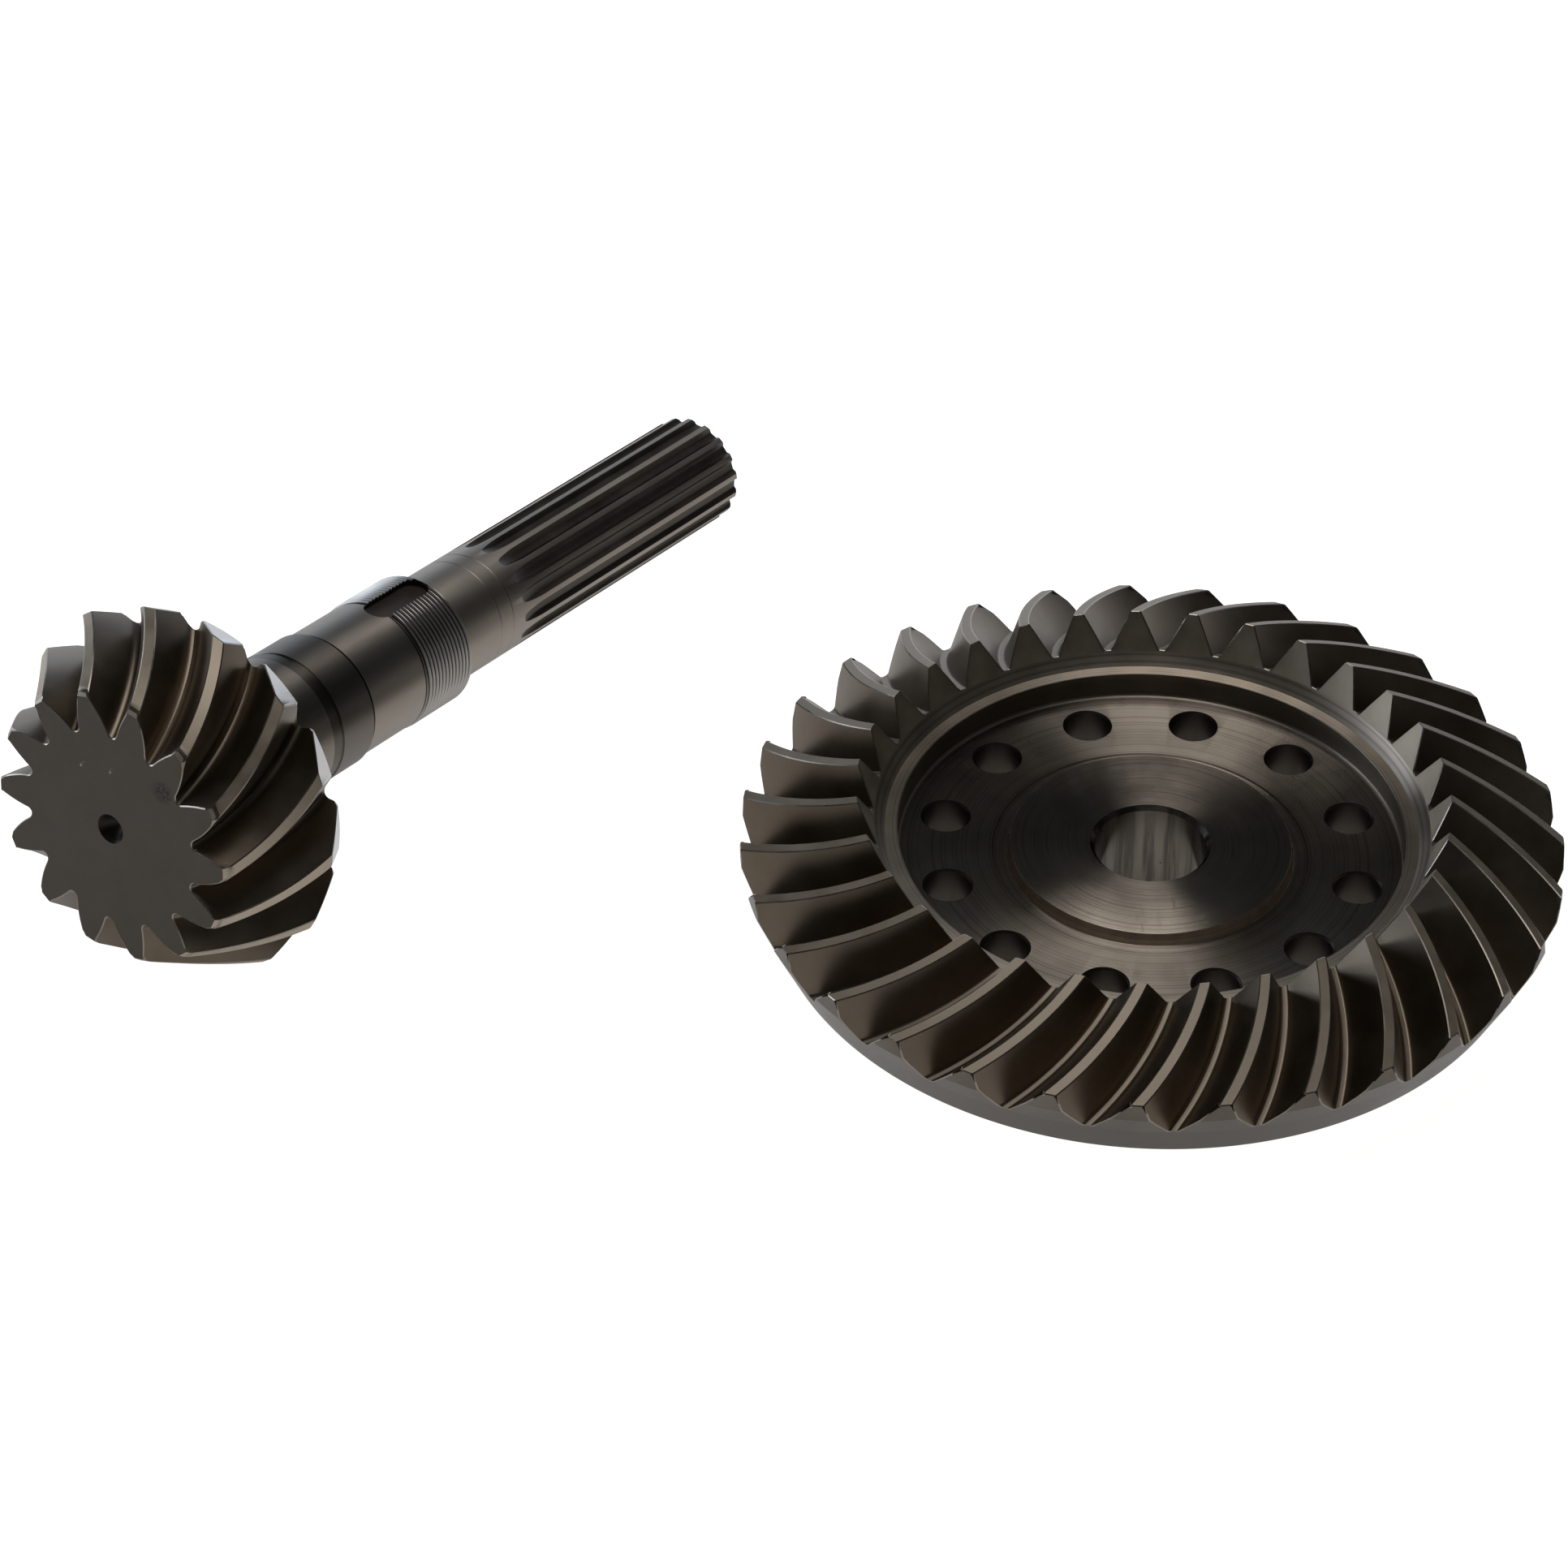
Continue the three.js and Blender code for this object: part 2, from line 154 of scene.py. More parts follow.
def spiral_cosine(distance):
    sine = (distance**2 + CUTTER_RADIUS**2 - CUTTER_OFFSET**2) / (
        2 * distance * CUTTER_RADIUS
    )
    return np.sqrt(1 - sine**2)


class Teeth:
    """One gear's teeth. 'down' is -1 where the cone falls away from the toe."""

    def __init__(self, count, toe, cone, down, addendum, dedendum, taper, lands, bulge, phase):
        self.count = count
        self.toe = toe
        self.sine = math.sin(cone)
        self.along = (math.sin(cone), down * math.cos(cone))
        self.outward = (math.cos(cone), -down * math.sin(cone))
        self.dedendum = dedendum
        self.depth = addendum + dedendum
        self.taper = taper
        self.root_land, self.top_land = lands
        self.bulge = bulge
        self.phase = phase

    def place(self, height, run):
        lift = -self.dedendum + height * (self.depth + self.taper * run)
        radius = self.toe[0] + run * self.along[0] + lift * self.outward[0]
        level = self.toe[1] + run * self.along[1] + lift * self.outward[1]
        return radius, level

    def height_of(self, point):
        across = (point[0] - self.toe[0], point[1] - self.toe[1])
        run = across[0] * self.along[0] + across[1] * self.along[1]
        lift = across[0] * self.outward[0] + across[1] * self.outward[1]
        return (lift + self.dedendum) / (self.depth + self.taper * run)

    def reach(self, height, edge):
        """Distance along the face where the line of each tooth height meets an edge."""
        r0, z0 = self.place(height, 0.0)
        r1, z1 = self.place(height, 1.0)
        way_r, way_z = r1 - r0, z1 - z0
        best_run = np.zeros_like(height)
        best_miss = np.full_like(height, np.inf)
        for (ar, az), (br, bz) in zip(edge[:-1], edge[1:]):
            side_r, side_z = br - ar, bz - az
            gap_r, gap_z = ar - r0, az - z0
            cross = way_r * side_z - way_z * side_r
            run = (gap_r * side_z - gap_z * side_r) / cross
            share = (gap_r * way_z - gap_z * way_r) / cross
            miss = np.maximum(0, np.maximum(-share, share - 1))
            better = miss < best_miss - 1e-9
            best_run = np.where(better, run, best_run)
            best_miss = np.where(better, miss, best_miss)
        return best_run

    def half_angle(self, height, run, stand):
        """Half the tooth's angle, with 'stand' mm of metal added to each flank."""
        cosine = spiral_cosine(TOE_DISTANCE + run)
        root = math.pi / self.count - self.root_land / 2 / cosine / self.place(0.0, run)[0]
        tip = self.top_land / 2 / cosine / self.place(1.0, run)[0]
        radius = self.place(height, run)[0]
        swell = self.bulge * 4 * height * (1 - height) / radius
        return root + (tip - root) * height + swell + stand / cosine / radius

    def turned(self, run):
        return (cone_angle(TOE_DISTANCE) - cone_angle(TOE_DISTANCE + run)) / self.sine


def flank_profile(depth, fillet, flank_steps):
    """Heights from root to tip, and the metal that the root fillet and tip break add."""
    bends = np.linspace(0, math.pi / 2, 6)
    heights = list(fillet * (1 - np.cos(bends)) / depth)
    stands = list(fillet * (1 - np.sin(bends)))
    top = 1 - EDGE_BREAK / depth
    for height in np.linspace(heights[-1], top, flank_steps + 1)[1:]:
        heights.append(height)
        stands.append(0.0)
    heights.append(1.0)
    stands.append(-EDGE_BREAK)
    return np.array(heights), np.array(stands)


class ToothRows:
    """Rows of points round a whole gear, across every tooth and slot."""

    def __init__(self, teeth, toe_edge, heel_edge, fillet, flank_steps):
        heights, stands = flank_profile(teeth.depth, fillet, flank_steps)
        self.teeth = teeth
        self.toe_edge = toe_edge
        self.heel_edge = heel_edge
        self.per_tooth = 2 * len(heights)
        steps = np.arange(teeth.count)
        centres = teeth.phase + steps * 2 * math.pi / teeth.count
        self.height = np.tile(np.concatenate([heights, heights[::-1]]), teeth.count)
        self.stand = np.tile(np.concatenate([stands, stands[::-1]]), teeth.count)
        sides = np.concatenate([-np.ones(len(heights)), np.ones(len(heights))])
        self.side = np.tile(sides, teeth.count)
        self.centre = np.repeat(centres, self.per_tooth)

    def angle(self, run, inset=0.0):
        half = self.teeth.half_angle(self.height, run, self.stand - inset)
        return self.centre + self.side * half - self.teeth.turned(run)

    def face(self, share):
        """A row across the face, from 0 at the toe to 1 at the heel."""
        start = self.teeth.reach(self.height, self.toe_edge) + EDGE_BREAK
        end = self.teeth.reach(self.height, self.heel_edge) - EDGE_BREAK
        run = start + (end - start) * share
        return round_points(self.teeth.place(self.height, run), self.angle(run))

    def end(self, edge, limit, inset):
        """A row on an end of the teeth, nowhere above the tooth height 'limit'."""
        angle = self.angle(self.teeth.reach(self.height, edge), inset)
        height = np.minimum(self.height - inset / self.teeth.depth, limit)
        run = self.teeth.reach(height, edge)
        return round_points(self.teeth.place(height, run), angle)

    def column_kinds(self):
        """What the strip from each spot to the next one is: flank, edge or land."""
        half = self.per_tooth // 2
        kinds = ["flank"] * self.per_tooth
        kinds[half - 2] = "edge"
        kinds[half - 1] = "land"
        kinds[half] = "edge"
        kinds[-1] = "land"
        return kinds * self.teeth.count


def round_points(place, angle):
    radius, level = place
    level = level + np.zeros_like(angle)
    return np.stack([radius * np.cos(angle), radius * np.sin(angle), level], axis=1)


def circle(radius, level, angles):
    return round_points((radius, level), angles)


# ------------------------------------------------------------------------ meshes


def object_from(mesh_rows, kinds, columns, materials, name, caps=None):
    """A closed skin over rows of points. 'kinds' names each strip's material;
    'teeth' takes it from 'columns'. Without caps the last row joins the first."""
    slots = list(materials)
    width = len(mesh_rows[0])
    points = np.concatenate(mesh_rows)
    faces = []
    slot_of = []
    strips = len(mesh_rows) - 1 if caps else len(mesh_rows)
    column_slots = [slots.index(kind) for kind in columns]
    for row in range(strips):
        low = row * width
        high = (row + 1) % len(mesh_rows) * width
        for step in range(width):
            after = (step + 1) % width
            faces.append((low + step, low + after, high + after, high + step))
        if kinds[row] == "teeth":
            slot_of.extend(column_slots)
        else:
            slot_of.extend([slots.index(kinds[row])] * width)
    if caps:
        points = np.concatenate([points, caps])
        first, last = len(points) - 2, len(points) - 1
        top = (len(mesh_rows) - 1) * width
        for step in range(width):
            after = (step + 1) % width
            faces.append((first, after, step))
            faces.append((last, top + step, top + after))
            slot_of.extend([slots.index(kinds[0]), slots.index(kinds[-1])])
    mesh = bpy.data.meshes.new(name)
    mesh.from_pydata((points * MM).tolist(), [], faces)
    mesh.polygons.foreach_set("material_index", slot_of)
    for slot in slots:
        mesh.materials.append(materials[slot])
    work = bmesh.new()
    work.from_mesh(mesh)
    bmesh.ops.remove_doubles(work, verts=work.verts, dist=2e-6)
    bmesh.ops.recalc_face_normals(work, faces=work.faces)
    work.to_mesh(mesh)
    work.free()
    made = bpy.data.objects.new(name, mesh)
    bpy.context.scene.collection.objects.link(made)
    return made


def merge_cutters(name, cutters):
    """One object that holds the meshes of several, which don't touch each other."""
    work = bmesh.new()
    materials = []
    for cutter in cutters:
        start = len(work.faces)
        work.from_mesh(cutter.data)
        work.faces.ensure_lookup_table()
        for face in work.faces[start:]:
            face.material_index = len(materials)
        materials.append(cutter.data.materials[0])
        bpy.data.objects.remove(cutter)
    mesh = bpy.data.meshes.new(name)
    work.to_mesh(mesh)
    work.free()
    for material in materials:
        mesh.materials.append(material)
    made = bpy.data.objects.new(name, mesh)
    bpy.context.scene.collection.objects.link(made)
    return made


def cut(target, cutter):
    """Takes the cutter's space out of the target, and the cutter out of the scene."""
    change = target.modifiers.new("cut", "BOOLEAN")
    change.operation = "DIFFERENCE"
    change.object = cutter
    change.solver = "MANIFOLD"
    graph = bpy.context.evaluated_depsgraph_get()
    old = target.data
    target.data = bpy.data.meshes.new_from_object(target.evaluated_get(graph))
    target.modifiers.clear()
    bpy.data.meshes.remove(old)
    bpy.data.objects.remove(cutter)


def smooth(target):
    target.data.shade_smooth()
    target.data.set_sharp_from_angle(angle=SHARP_ANGLE)


def rounded_corner(before, corner, after, radius):
    """Points of a round between two straight runs of an outline."""
    steps = 4
    corner = Vector(corner)
    to_before = (Vector(before) - corner).normalized()
    to_after = (Vector(after) - corner).normalized()
    half = to_before.angle(to_after) / 2
    trim = radius / math.tan(half)
    centre = corner + (to_before + to_after).normalized() * (radius / math.sin(half))
    start = corner + to_before * trim - centre
    end = corner + to_after * trim - centre
    swing = start.angle_signed(end)
    points = []
    for step in range(steps + 1):
        turned = start.copy()
        turned.rotate(Matrix.Rotation(-swing * step / steps, 2))
        points.append(tuple(centre + turned))
    return points


def round_outline(outline, radii):
    """An outline with some of its corners rounded: 'radii' maps a corner to a radius."""
    points = []
    for index, point in enumerate(outline):
        if index in radii:
            before, after = outline[index - 1], outline[index + 1]
            points.extend(rounded_corner(before, point, after, radii[index]))
        else:
            points.append(point)
    return points


# --------------------------------------------------------------------- materials


class Nodes:
    """A material's nodes, made one after another."""

    def __init__(self, name):
        self.material = bpy.data.materials.new(name)
        self.material.use_nodes = True
        self.tree = self.material.node_tree
        self.shader = self.tree.nodes["Principled BSDF"]
        self.place = self.add("ShaderNodeTexCoord").outputs["Object"]

    def add(self, kind, **values):
        node = self.tree.nodes.new(kind)
        for key, value in values.items():
            setattr(node, key, value)
        return node

    def link(self, source, target):
        self.tree.links.new(source, target)

    def math(self, operation, first, second=0.0, third=0.0):
        node = self.add("ShaderNodeMath", operation=operation)
        for socket, value in zip(node.inputs, (first, second, third)):
            if isinstance(value, (int, float)):
                socket.default_value = value
            else:
                self.link(value, socket)
        return node.outputs[0]

    def noise(self, scale, detail=3.0, stretch=(1, 1, 1), roughness=0.5):
        mapping = self.add("ShaderNodeMapping")
        mapping.inputs["Scale"].default_value = stretch
        self.link(self.place, mapping.inputs["Vector"])
        node = self.add("ShaderNodeTexNoise")
        node.inputs["Scale"].default_value = scale
        node.inputs["Detail"].default_value = detail
        node.inputs["Roughness"].default_value = roughness
        self.link(mapping.outputs[0], node.inputs["Vector"])
        return node.outputs["Fac"]

    def radius(self):
        """Distance from the gear's axis."""
        flat = self.add("ShaderNodeMapping")
        flat.inputs["Scale"].default_value = (1, 1, 0)
        self.link(self.place, flat.inputs["Vector"])
        length = self.add("ShaderNodeVectorMath", operation="LENGTH")
        self.link(flat.outputs[0], length.inputs[0])
        return length.outputs["Value"]

    def axial(self):
        split = self.add("ShaderNodeSeparateXYZ")
        self.link(self.place, split.inputs[0])
        return split.outputs["Z"]

    def rings(self, position, scale, detail=4.0):
        """Fine tool marks: noise that changes only with one distance."""
        node = self.add("ShaderNodeTexNoise", noise_dimensions="1D")
        node.inputs["Scale"].default_value = scale
        node.inputs["Detail"].default_value = detail
        self.link(position, node.inputs["W"])
        return node.outputs["Fac"]

    def spread(self, value, low, high, new_low, new_high):
        node = self.add("ShaderNodeMapRange")
        self.link(value, node.inputs["Value"])
        for socket, number in zip(
            ("From Min", "From Max", "To Min", "To Max"), (low, high, new_low, new_high)
        ):
            node.inputs[socket].default_value = number
        return node.outputs["Result"]

    def blend(self, factor, first, second):
        node = self.add("ShaderNodeMix", data_type="RGBA")
        self.link(factor, node.inputs["Factor"])
        for socket, colour in zip(("A", "B"), (first, second)):
            target = [i for i in node.inputs if i.name == socket and i.type == "RGBA"][0]
            if isinstance(colour, tuple):
                target.default_value = (*colour, 1)
            else:
                self.link(colour, target)
        return [o for o in node.outputs if o.type == "RGBA"][0]

    def bump(self, height, strength, distance):
        node = self.add("ShaderNodeBump")
        node.inputs["Strength"].default_value = strength
        node.inputs["Distance"].default_value = distance
        self.link(height, node.inputs["Height"])
        self.link(node.outputs[0], self.shader.inputs["Normal"])

    def turned(self, amount):
        """Circular tool marks stretch the highlights across them."""
        self.shader.inputs["Anisotropic"].default_value = amount
        self.shader.inputs["Anisotropic Rotation"].default_value = 0.25
        tangent = self.add("ShaderNodeTangent", direction_type="RADIAL", axis="Z")
        self.link(tangent.outputs[0], self.shader.inputs["Tangent"])


def steel(name, dark, light, roughness, cloud_scale, cloud_stretch=(1, 1, 1)):
    """Oiled steel: a clouded tint between two colours, and a clouded polish."""
    nodes = Nodes(name)
    nodes.shader.inputs["Metallic"].default_value = 1.0
    clouds = nodes.noise(cloud_scale, 5.0, cloud_stretch, 0.6)
    mottle = nodes.spread(clouds, 0.3, 0.7, 0.0, 1.0)
    nodes.link(nodes.blend(mottle, dark, light), nodes.shader.inputs["Base Color"])
    polish = nodes.spread(clouds, 0.3, 0.7, roughness[0], roughness[1])
    nodes.link(polish, nodes.shader.inputs["Roughness"])
    return nodes


def tint_over(nodes, mask, colour):
    """Paints a colour over the base colour wherever the mask is high."""
    base = nodes.shader.inputs["Base Color"]
    below = base.links[0].from_socket
    nodes.link(nodes.blend(mask, below, colour), base)


def pits(nodes, scale, level, area):
    """Small dark pits in patches. A higher level leaves fewer of them."""
    fine = nodes.noise(scale, 1.0)
    patches = nodes.noise(area, 1.0)
    height = nodes.math("MULTIPLY_ADD", patches, 0.5, fine)
    tint_over(nodes, nodes.spread(height, level, level + 0.02, 0.0, 1.0), (0.03, 0.022, 0.018))


def smears(nodes, scale, stretch, level, colour):
    """Wiped streaks, longer one way than the other."""
    streaks = nodes.noise(scale, 5.0, stretch, 0.65)
    tint_over(nodes, nodes.spread(streaks, level, level + 0.12, 0.0, 0.6), colour)


def flank_steel(name):
    nodes = steel(name, (0.125, 0.097, 0.069), (0.175, 0.142, 0.108), (0.33, 0.44), 28)
    nodes.bump(nodes.noise(900, 3.0), 0.08, 0.0002)
    return nodes.material


def shaded(tint, shade):
    return tuple(part * shade for part in tint)


def land_steel(name, shade=1.0):
    dark, light = (0.21, 0.174, 0.134), (0.27, 0.229, 0.181)
    nodes = steel(name, shaded(dark, shade), shaded(light, shade), (0.48, 0.58), 60)
    nodes.bump(nodes.noise(700, 3.0), 0.12, 0.0002)
    return nodes.material


def edge_steel(name):
    return steel(name, (0.20, 0.172, 0.14), (0.29, 0.255, 0.22), (0.25, 0.35), 80).material


def smudge(nodes, spot, radius):
    """A soft dark blot on the end face."""
    reach = nodes.add("ShaderNodeVectorMath", operation="DISTANCE")
    nodes.link(nodes.place, reach.inputs[0])
    reach.inputs[1].default_value = (spot[0] * MM, spot[1] * MM, 0)
    blot = nodes.spread(reach.outputs["Value"], radius * MM, radius * MM / 2, 0.0, 1.0)
    cloud = nodes.spread(nodes.noise(700, 3.0), 0.35, 0.6, 0.0, 0.8)
    tint_over(nodes, nodes.math("MULTIPLY", blot, cloud), (0.025, 0.022, 0.02))


# The dark tint of the shaft's end faces is painted shade, standing in for the shadowed floor that
# they reflect. The smears and the blot are stains.
def matt_shaded_face(name):
    nodes = steel(name, (0.068, 0.057, 0.046), (0.090, 0.077, 0.064), (0.50, 0.60), 45)
    smears(nodes, 160, (1, 1, 1), 0.62, (0.07, 0.06, 0.05))
    smudge(nodes, SMUDGE, SMUDGE_RADIUS)
    nodes.bump(nodes.noise(1500, 2.0), 0.2, 0.0001)
    return nodes.material


def turned_steel(name, roughness=(0.25, 0.33), amount=0.92, smeared=False, shade=1.0):
    dark, light = (0.225, 0.19, 0.153), (0.30, 0.258, 0.212)
    nodes = steel(name, shaded(dark, shade), shaded(light, shade), roughness, 22)
    lines = nodes.rings(nodes.radius(), 700)
    tint_over(nodes, nodes.spread(lines, 0.50, 0.62, 0.0, 0.45), (0.12, 0.10, 0.08))
    if smeared:
        smears(nodes, 30, (7, 1, 1), 0.60, (0.12, 0.10, 0.085))
    nodes.turned(amount)
    nodes.bump(nodes.rings(nodes.radius(), 1800), 0.10, 0.00005)
    return nodes.material


def ground_steel(
    name, roughness=(0.28, 0.36), amount=0.88, pit_level=1.14, shade=1.0, streaked=False
):
    dark, light = (0.17, 0.147, 0.123), (0.25, 0.218, 0.185)
    nodes = steel(name, shaded(dark, shade), shaded(light, shade), roughness, 30, (1, 1, 0.3))
    if streaked:
        smears(nodes, 110, (1, 1, 0.06), 0.46, (0.02, 0.017, 0.014))
    pits(nodes, 700, pit_level, 35)
    nodes.turned(amount)
    nodes.bump(nodes.rings(nodes.axial(), 1500), 0.08, 0.00005)
    return nodes.material


# The bolt holes' very dark colour is painted shade inside the holes.
def shaded_drilled_steel(name):
    dark, light = (0.05, 0.042, 0.035), (0.08, 0.07, 0.06)
    return steel(name, dark, light, (0.30, 0.40), 60, (1, 1, 0.2)).material


def band_steel(name, shade=1.0):
    dark, light = (0.105, 0.090, 0.074), (0.15, 0.13, 0.11)
    nodes = steel(name, shaded(dark, shade), shaded(light, shade), (0.26, 0.38), 35)
    nodes.bump(nodes.rings(nodes.axial(), 1200), 0.08, 0.00005)
    return nodes.material


# The heel facets' near-white colour is a painted highlight, standing in for the back light's
# reflection.
def heel_highlight_steel(name):
    nodes = steel(name, (0.52, 0.51, 0.51), (0.62, 0.61, 0.61), (0.20, 0.30), 40)
    nodes.turned(0.5)
    return nodes.material


# The thread's very dark colour is painted shade in its grooves, and the light tint on the crests
# is a painted highlight.
def thread_steel(name):
    nodes = steel(name, (0.04, 0.034, 0.028), (0.06, 0.052, 0.044), (0.36, 0.46), 60)
    crest_highlight = nodes.spread(nodes.radius(), CREST_SHINE[0] * MM, CREST_SHINE[1] * MM, 0.0, 1.0)
    tint_over(nodes, crest_highlight, (0.38, 0.355, 0.33))
    return nodes.material


def flute_steel(name, shade=1.0):
    dark, light = (0.065, 0.054, 0.043), (0.105, 0.088, 0.073)
    return steel(name, shaded(dark, shade), shaded(light, shade), (0.40, 0.50), 40).material


# --------------------------------------------------------------------- the wheel


def wheel_outline():
    """The wheel's section from the bore out to the foot of the teeth."""
    outline = [
        (BORE + HUB_CHAMFER, 0),
        (BORE, HUB_CHAMFER),
        (BORE, BOSS_TOP - BORE_CHAMFER),
        (BORE + BORE_CHAMFER, BOSS_TOP),
        (BOSS, BOSS_TOP),
        (BOSS_FOOT, WEB_TOP - GROOVE_DEPTH),
        (GROOVE_OUTER, WEB_TOP - GROOVE_DEPTH),
        (GROOVE_LIP, WEB_TOP),
        (DISH, WEB_TOP),
        (DISH - WALL_DRAFT, WALL_TOP),
        (LEDGE, WALL_TOP),
    ]
    return round_outline(outline, {4: 0.5, 5: 0.6, 6: 0.4, 8: 2.4, 9: 0.5})


def wheel_kind(radius):
    if radius < BORE + 1:
        return "bore"
    if radius < BOSS - 1:
        return "boss"
    return "turned" if radius < DISH - 2 else "wall"


def wheel_rows():
    teeth = Teeth(
        count=WHEEL_TEETH,
        toe=WHEEL_TOE,
        cone=WHEEL_CONE,
        down=-1,
        addendum=9.65,
        dedendum=9.65,
        taper=0.0,
        lands=(3.4, 4.9),
        bulge=0.0,
        phase=WHEEL_PHASE,
    )
    heel_edge = [
        (BACK_RADIUS, HUB_DROP),
        (OUTER_RADIUS, OUTER_BAND[0]),
        (OUTER_RADIUS, OUTER_BAND[1]),
        TIP_END,
    ]
    rows = ToothRows(teeth, WHEEL_TOE_EDGE, heel_edge, fillet=0.9, flank_steps=5)
    foot = -FOOT_DROP / teeth.depth
    toe_foot = rows.end(WHEEL_TOE_EDGE, foot, EDGE_BREAK)
    angles = np.arctan2(toe_foot[:, 1], toe_foot[:, 0])
    made = []
    kinds = []
    for radius, level in wheel_outline():
        made.append(circle(radius, level, angles))
        kinds.append(wheel_kind(radius))
    made += [toe_foot, rows.end(WHEEL_TOE_EDGE, NO_LIMIT, EDGE_BREAK)]
    kinds += ["toe", "edge"]
    for share in np.linspace(0, 1, FACE_STEPS + 1):
        made.append(rows.face(share))
        kinds.append("teeth")
    kinds[-1] = "edge"
    made.append(rows.end(heel_edge, NO_LIMIT, EDGE_BREAK))
    kinds.append("band")
    for level in reversed(OUTER_BAND):
        limit = teeth.height_of((OUTER_RADIUS, level))
        made.append(rows.end(heel_edge, limit, EDGE_BREAK))
        kinds.append("band")
    heel_foot = rows.end(heel_edge, foot, EDGE_BREAK)
    made.append(heel_foot)
    kinds.append("rim")
    angles = np.arctan2(heel_foot[:, 1], heel_foot[:, 0])
    made.append(circle(BACK_RADIUS + 0.3, HUB_DROP + 0.8, angles))
    kinds.append("rim")
    hub = [
        (BACK_RADIUS - 0.6, HUB_DROP),
        (BOSS + HUB_FLARE, HUB_DROP),
        (BOSS, HUB_DROP - HUB_FLARE),
        (BOSS, HUB_CHAMFER),
        (BOSS - HUB_CHAMFER, 0),
    ]
    for radius, level in round_outline(hub, {2: 1.0}):
        made.append(circle(radius, level, angles))
        kinds.append("turned")
    return made, kinds, rows.column_kinds()


def lathe(name, outline, material, sides=64):
    """A solid of revolution whose outline starts and ends on the axis."""
    angles = np.linspace(0, 2 * math.pi, sides, endpoint=False)
    rows = [circle(radius, level, angles) for radius, level in outline[1:-1]]
    caps = [(0, 0, outline[0][1]), (0, 0, outline[-1][1])]
    kinds = ["cut"] * len(rows)
    return object_from(rows, kinds, ["cut"] * sides, {"cut": material}, name, caps)


def bolt_drill(material, name):
    outline = [
        (0, HUB_DROP - 1),
        (BOLT_HOLE + BOLT_CHAMFER + 1, HUB_DROP - 1),
        (BOLT_HOLE, HUB_DROP + BOLT_CHAMFER),
        (BOLT_HOLE, WEB_TOP - BOLT_CHAMFER),
        (BOLT_HOLE + BOLT_CHAMFER + 1, WEB_TOP + 1),
        (0, WEB_TOP + 1),
    ]
    return lathe(name, outline, material)


def make_wheel():
    materials = {
        "turned": turned_steel("wheel_turned"),
        "boss": turned_steel("wheel_boss", (0.20, 0.28), smeared=True),
        # The dish wall is a lighter copy of the turned steel (shade 1.3): painted light on the
        # wall.
        "wall": turned_steel("wheel_dish_wall_lit", (0.34, 0.42), 0.6, shade=1.3),
        "drilled": shaded_drilled_steel("wheel_bolt_holes_shaded"),
        # The bore wall is a darker copy of the ground steel (shade 0.7): painted shade inside the
        # bore.
        "bore": ground_steel("wheel_bore_wall_shaded", (0.16, 0.24), 0.8, 1.08, 0.7, streaked=True),
        "toe": land_steel("wheel_tooth_ends", 1.6),
        "flank": flank_steel("wheel_flanks"),
        "edge": edge_steel("wheel_edges"),
        "land": land_steel("wheel_lands", 1.25),
        "band": band_steel("wheel_outer_band"),
        # The rim is a darker copy of the band steel: painted shade on the rim's underside.
        "rim": band_steel("wheel_rim_shaded", 0.85),
    }
    rows, kinds, columns = wheel_rows()
    wheel = object_from(rows, kinds, columns, materials, "crown_wheel")
    drills = []
    for hole in range(BOLT_COUNT):
        drill = bolt_drill(materials["drilled"], f"drill_{hole}")
        angle = BOLT_PHASE + hole * 2 * math.pi / BOLT_COUNT
        spot = Vector((math.cos(angle), math.sin(angle), 0)) * BOLT_CIRCLE * MM
        drill.data.transform(Matrix.Translation(spot))
        drills.append(drill)
    cut(wheel, merge_cutters("drills", drills))
    smooth(wheel)
    return wheel


# --------------------------------------------------------------------- the pinion


def shaft_outline():
    """The shaft behind the head, without its thread: (radius, height, material)."""
    back = HEEL_FACET[1][1]
    steps = 8
    points = []
    for angle in np.linspace(0, math.pi / 2, steps + 1):
        radius = JOURNAL + JOURNAL_BEND * (1 - math.sin(angle))
        points.append((radius, back + JOURNAL_BEND * (1 - math.cos(angle)), "ground"))
    points += [
        (JOURNAL, BAND[0], "ground"),
        (JOURNAL - BAND_DEPTH, BAND[0] + 0.3, "groove"),
        (JOURNAL - BAND_DEPTH, BAND[1] - 0.3, "groove"),
        (JOURNAL, BAND[1], "collar"),
        (JOURNAL, COLLAR_END - 0.5, "edge"),
        (JOURNAL - 0.5, COLLAR_END, "collar"),
        # The relief at the collar's end takes the hole's very dark steel: painted shade in the
        # crease.
        (SEAT - RELIEF, COLLAR_END, "hole"),
        (SEAT - RELIEF, COLLAR_END + 1.6, "hole"),
        (SEAT, COLLAR_END + 1.9, "seat"),
        (SEAT, THREAD_START - 1.0, "seat"),
        (THREAD_ROOT + 0.2, THREAD_START - 0.6, "thread"),
    ]
    return points


def tail_outline():
    points = [
        (THREAD_ROOT - 0.6, THREAD_END, "thread"),
        (TAIL + 0.8, THREAD_END, "tail"),
        (TAIL, THREAD_END + 0.8, "tail"),
    ]
    for groove in TAIL_GROOVES:
        points += [
            (TAIL, groove - 0.5, "tail"),
            (TAIL - 0.12, groove - 0.25, "tail"),
            (TAIL - 0.12, groove + 0.25, "tail"),
            (TAIL, groove + 0.5, "tail"),
        ]
    points += [
        (TAIL, LENGTH - 1.5, "edge"),
        (TAIL - 1.5, LENGTH, "face"),
        (CENTRE_RADIUS, LENGTH, "hole"),
    ]
    return points


